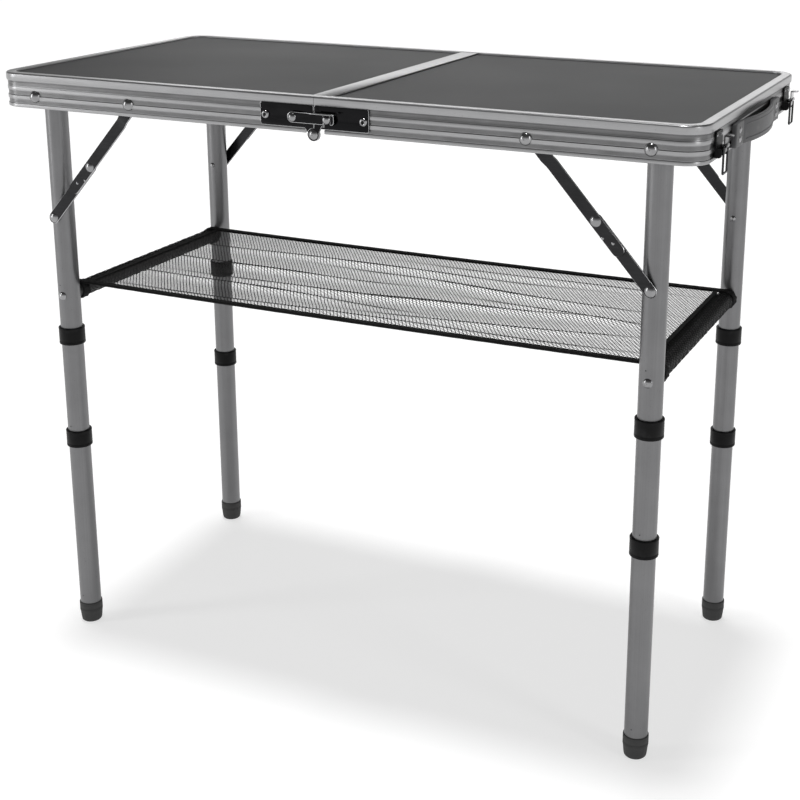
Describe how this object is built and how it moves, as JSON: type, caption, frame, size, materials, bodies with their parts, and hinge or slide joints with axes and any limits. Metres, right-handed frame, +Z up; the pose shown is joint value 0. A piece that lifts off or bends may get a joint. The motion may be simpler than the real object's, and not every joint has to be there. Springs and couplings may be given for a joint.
{
  "type": "folding camp table",
  "caption": "Folding camp table with a two-part laminate top in a metal rim, folding legs with plug-in extensions, folding braces, a mesh shelf, a strap handle and toggle latches.",
  "frame": {"origin": "on the floor, under the middle of the top", "axes": "+X along the length of the top towards the handle end, +Y towards the rear long side, +Z up"},
  "size_m": [0.8211, 0.4138, 0.678],
  "materials": {
    "laminate": "satin laminate",
    "rim_aluminium": "satin anodised",
    "tube_aluminium": "satin grey",
    "black_tube": "semi gloss",
    "rivet_steel": "polished",
    "black_steel": "gloss",
    "bail_wire": "polished",
    "handle_plastic": "satin",
    "shelf_mesh": "open mesh",
    "shelf_webbing": "woven tape",
    "collar_plastic": "moulded",
    "foot_rubber": "matte",
    "brace_steel": "semi gloss"
  },
  "bodies": {
    "left_half": {"left_panel": "laminate", "left_rim": "rim_aluminium", "left_seam_profile": "rim_aluminium", "left_pivot_rivets": "rivet_steel", "left_hinge_plates": "black_steel", "hinge_pins": "rivet_steel", "left_plate_rivets": "rivet_steel", "latch_keepers": "black_steel", "shelf_mesh": "shelf_mesh", "shelf_bindings": "shelf_webbing"},
    "right_half": {"right_panel": "laminate", "right_rim": "rim_aluminium", "right_seam_profile": "rim_aluminium", "right_pivot_rivets": "rivet_steel", "right_hinge_plates": "black_steel", "right_plate_rivets": "rivet_steel", "handle_strap": "handle_plastic", "handle_rivets": "rivet_steel", "latch_bases": "black_steel"},
    "left_leg_frame": {"left_leg_tubes": "tube_aluminium", "left_cross_tube": "black_tube", "left_leg_rivets": "rivet_steel"},
    "right_leg_frame": {"right_leg_tubes": "tube_aluminium", "right_cross_tube": "black_tube", "right_leg_rivets": "rivet_steel"},
    "front_left_middle_leg": {"front_left_middle_collar": "collar_plastic", "front_left_middle_tube": "tube_aluminium"},
    "front_left_lower_leg": {"front_left_lower_collar": "collar_plastic", "front_left_lower_tube": "tube_aluminium", "front_left_foot": "foot_rubber"},
    "front_left_upper_link": {"front_left_upper_link": "brace_steel"},
    "front_left_lower_link": {"front_left_lower_link": "brace_steel"},
    "rear_left_middle_leg": {"rear_left_middle_collar": "collar_plastic", "rear_left_middle_tube": "tube_aluminium"},
    "rear_left_lower_leg": {"rear_left_lower_collar": "collar_plastic", "rear_left_lower_tube": "tube_aluminium", "rear_left_foot": "foot_rubber"},
    "rear_left_upper_link": {"rear_left_upper_link": "brace_steel"},
    "rear_left_lower_link": {"rear_left_lower_link": "brace_steel"},
    "front_right_middle_leg": {"front_right_middle_collar": "collar_plastic", "front_right_middle_tube": "tube_aluminium"},
    "front_right_lower_leg": {"front_right_lower_collar": "collar_plastic", "front_right_lower_tube": "tube_aluminium", "front_right_foot": "foot_rubber"},
    "front_right_upper_link": {"front_right_upper_link": "brace_steel"},
    "front_right_lower_link": {"front_right_lower_link": "brace_steel"},
    "rear_right_middle_leg": {"rear_right_middle_collar": "collar_plastic", "rear_right_middle_tube": "tube_aluminium"},
    "rear_right_lower_leg": {"rear_right_lower_collar": "collar_plastic", "rear_right_lower_tube": "tube_aluminium", "rear_right_foot": "foot_rubber"},
    "rear_right_upper_link": {"rear_right_upper_link": "brace_steel"},
    "rear_right_lower_link": {"rear_right_lower_link": "brace_steel"},
    "front_lock_bar": {"front_lock_bar": "black_steel"},
    "front_latch_lever": {"front_latch_lever": "black_steel"},
    "front_latch_bail": {"front_latch_bail": "bail_wire"},
    "rear_lock_bar": {"rear_lock_bar": "black_steel"},
    "rear_latch_lever": {"rear_latch_lever": "black_steel"},
    "rear_latch_bail": {"rear_latch_bail": "bail_wire"}
  },
  "joints": [
    {"name": "top_fold", "type": "hinge", "parent": "left_half", "child": "right_half", "pos_m": [0, 0, 0.64], "axis": [0, 1, 0], "range_deg": [0, 50], "deforming": ["shelf_mesh", "shelf_bindings"]},
    {"name": "left_leg_fold", "type": "hinge", "parent": "left_half", "child": "left_leg_frame", "pos_m": [-0.35, 0, 0.6535], "axis": [0, 1, 0], "range_deg": [-90, 0], "deforming": ["shelf_mesh", "shelf_bindings"]},
    {"name": "right_leg_fold", "type": "hinge", "parent": "right_half", "child": "right_leg_frame", "pos_m": [0.35, 0, 0.6535], "axis": [0, 1, 0], "range_deg": [0, 90], "deforming": ["shelf_mesh", "shelf_bindings"]},
    {"name": "front_left_middle_slide", "type": "slide", "parent": "left_leg_frame", "child": "front_left_middle_leg", "axis": [0, 0, -1], "range_m": [0, 0.43]},
    {"name": "front_left_lower_slide", "type": "slide", "parent": "front_left_middle_leg", "child": "front_left_lower_leg", "axis": [0, 0, -1], "range_m": [0, 0.3]},
    {"name": "front_left_brace_rim", "type": "hinge", "parent": "left_half", "child": "front_left_upper_link", "pos_m": [-0.227, 0, 0.6535], "axis": [0, 1, 0], "range_deg": [-131.4, 0]},
    {"name": "front_left_brace_knee", "type": "hinge", "parent": "front_left_upper_link", "child": "front_left_lower_link", "pos_m": [-0.29411, 0, 0.57711], "axis": [0, 1, 0], "range_deg": [0, 180]},
    {"name": "rear_left_middle_slide", "type": "slide", "parent": "left_leg_frame", "child": "rear_left_middle_leg", "axis": [0, 0, -1], "range_m": [0, 0.43]},
    {"name": "rear_left_lower_slide", "type": "slide", "parent": "rear_left_middle_leg", "child": "rear_left_lower_leg", "axis": [0, 0, -1], "range_m": [0, 0.3]},
    {"name": "rear_left_brace_rim", "type": "hinge", "parent": "left_half", "child": "rear_left_upper_link", "pos_m": [-0.227, 0, 0.6535], "axis": [0, 1, 0], "range_deg": [-131.4, 0]},
    {"name": "rear_left_brace_knee", "type": "hinge", "parent": "rear_left_upper_link", "child": "rear_left_lower_link", "pos_m": [-0.29411, 0, 0.57711], "axis": [0, 1, 0], "range_deg": [0, 180]},
    {"name": "front_right_middle_slide", "type": "slide", "parent": "right_leg_frame", "child": "front_right_middle_leg", "axis": [0, 0, -1], "range_m": [0, 0.43]},
    {"name": "front_right_lower_slide", "type": "slide", "parent": "front_right_middle_leg", "child": "front_right_lower_leg", "axis": [0, 0, -1], "range_m": [0, 0.3]},
    {"name": "front_right_brace_rim", "type": "hinge", "parent": "right_half", "child": "front_right_upper_link", "pos_m": [0.227, 0, 0.6535], "axis": [0, 1, 0], "range_deg": [0, 131.4]},
    {"name": "front_right_brace_knee", "type": "hinge", "parent": "front_right_upper_link", "child": "front_right_lower_link", "pos_m": [0.29411, 0, 0.57711], "axis": [0, 1, 0], "range_deg": [-180, 0]},
    {"name": "rear_right_middle_slide", "type": "slide", "parent": "right_leg_frame", "child": "rear_right_middle_leg", "axis": [0, 0, -1], "range_m": [0, 0.43]},
    {"name": "rear_right_lower_slide", "type": "slide", "parent": "rear_right_middle_leg", "child": "rear_right_lower_leg", "axis": [0, 0, -1], "range_m": [0, 0.3]},
    {"name": "rear_right_brace_rim", "type": "hinge", "parent": "right_half", "child": "rear_right_upper_link", "pos_m": [0.227, 0, 0.6535], "axis": [0, 1, 0], "range_deg": [0, 131.4]},
    {"name": "rear_right_brace_knee", "type": "hinge", "parent": "rear_right_upper_link", "child": "rear_right_lower_link", "pos_m": [0.29411, 0, 0.57711], "axis": [0, 1, 0], "range_deg": [-180, 0]},
    {"name": "front_lock_swing", "type": "hinge", "parent": "left_half", "child": "front_lock_bar", "pos_m": [-0.023, 0, 0.6565], "axis": [0, 1, 0], "range_deg": [-100, 0]},
    {"name": "front_latch_lever_swing", "type": "hinge", "parent": "right_half", "child": "front_latch_lever", "pos_m": [0.405, 0, 0.648], "axis": [0, 1, 0], "range_deg": [0, 150]},
    {"name": "front_latch_bail_swing", "type": "hinge", "parent": "front_latch_lever", "child": "front_latch_bail", "pos_m": [0.4076, 0, 0.654], "axis": [0, 1, 0], "range_deg": [-150, 0]},
    {"name": "rear_lock_swing", "type": "hinge", "parent": "left_half", "child": "rear_lock_bar", "pos_m": [-0.023, 0, 0.6565], "axis": [0, 1, 0], "range_deg": [-100, 0]},
    {"name": "rear_latch_lever_swing", "type": "hinge", "parent": "right_half", "child": "rear_latch_lever", "pos_m": [0.405, 0, 0.648], "axis": [0, 1, 0], "range_deg": [0, 150]},
    {"name": "rear_latch_bail_swing", "type": "hinge", "parent": "rear_latch_lever", "child": "rear_latch_bail", "pos_m": [0.4076, 0, 0.654], "axis": [0, 1, 0], "range_deg": [-150, 0]}
  ],
  "couplings": [
    {"joint": "front_left_brace_rim", "follows": "left_leg_fold", "ratio": 1.4589},
    {"joint": "front_left_brace_knee", "follows": "left_leg_fold", "ratio": -2},
    {"joint": "rear_left_brace_rim", "follows": "left_leg_fold", "ratio": 1.4589},
    {"joint": "rear_left_brace_knee", "follows": "left_leg_fold", "ratio": -2},
    {"joint": "front_right_brace_rim", "follows": "right_leg_fold", "ratio": 1.4589},
    {"joint": "front_right_brace_knee", "follows": "right_leg_fold", "ratio": -2},
    {"joint": "rear_right_brace_rim", "follows": "right_leg_fold", "ratio": 1.4589},
    {"joint": "rear_right_brace_knee", "follows": "right_leg_fold", "ratio": -2},
    {"joint": "front_lock_swing", "follows": "top_fold", "ratio": -2},
    {"joint": "front_latch_bail_swing", "follows": "front_latch_lever_swing", "ratio": -1},
    {"joint": "rear_lock_swing", "follows": "top_fold", "ratio": -2},
    {"joint": "rear_latch_bail_swing", "follows": "rear_latch_lever_swing", "ratio": -1}
  ]
}
